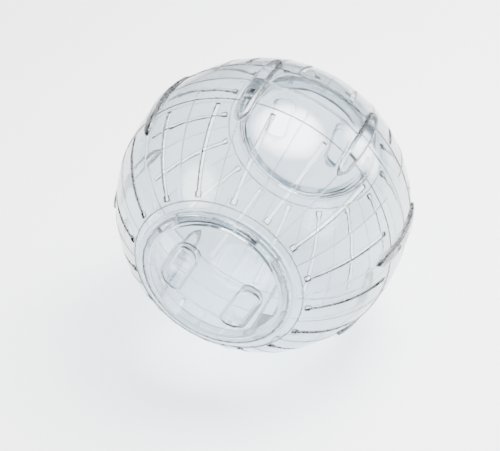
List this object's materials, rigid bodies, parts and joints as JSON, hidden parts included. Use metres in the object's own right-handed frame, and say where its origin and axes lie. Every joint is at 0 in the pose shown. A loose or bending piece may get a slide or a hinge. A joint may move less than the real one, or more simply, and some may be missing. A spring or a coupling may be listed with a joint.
{
  "type": "hamster ball",
  "caption": "Clear hamster exercise ball: vented half shells that snap together at the equator, each with a domed twist-lock door that has finger wells.",
  "frame": {"origin": "centre of the ball", "axes": "-Y out through the front door, +Y out through the rear door, +Z out through a lock on the seam"},
  "size_m": [0.2596, 0.254, 0.2596],
  "materials": {
    "clear_polystyrene": "clear crystal polystyrene, polished mould"
  },
  "bodies": {
    "rear_half": {"shell_rear": "clear_polystyrene", "tongues_rear": "clear_polystyrene"},
    "front_half": {"shell_front": "clear_polystyrene", "tongues_front": "clear_polystyrene"},
    "front_door": {"door_front": "clear_polystyrene"},
    "rear_door": {"door_rear": "clear_polystyrene"}
  },
  "joints": [
    {"name": "halves_apart", "type": "slide", "parent": "rear_half", "child": "front_half", "axis": [0, -1, 0], "range_m": [0, 0.12], "deforming": ["tongues_front", "tongues_rear"]},
    {"name": "front_door_twist", "type": "hinge", "parent": "front_half", "child": "front_door", "pos_m": [0, 0, 0], "axis": [0, 1, 0], "range_deg": [0, 19]},
    {"name": "rear_door_twist", "type": "hinge", "parent": "rear_half", "child": "rear_door", "pos_m": [0, 0, 0], "axis": [0, -1, 0], "range_deg": [0, 19]}
  ]
}
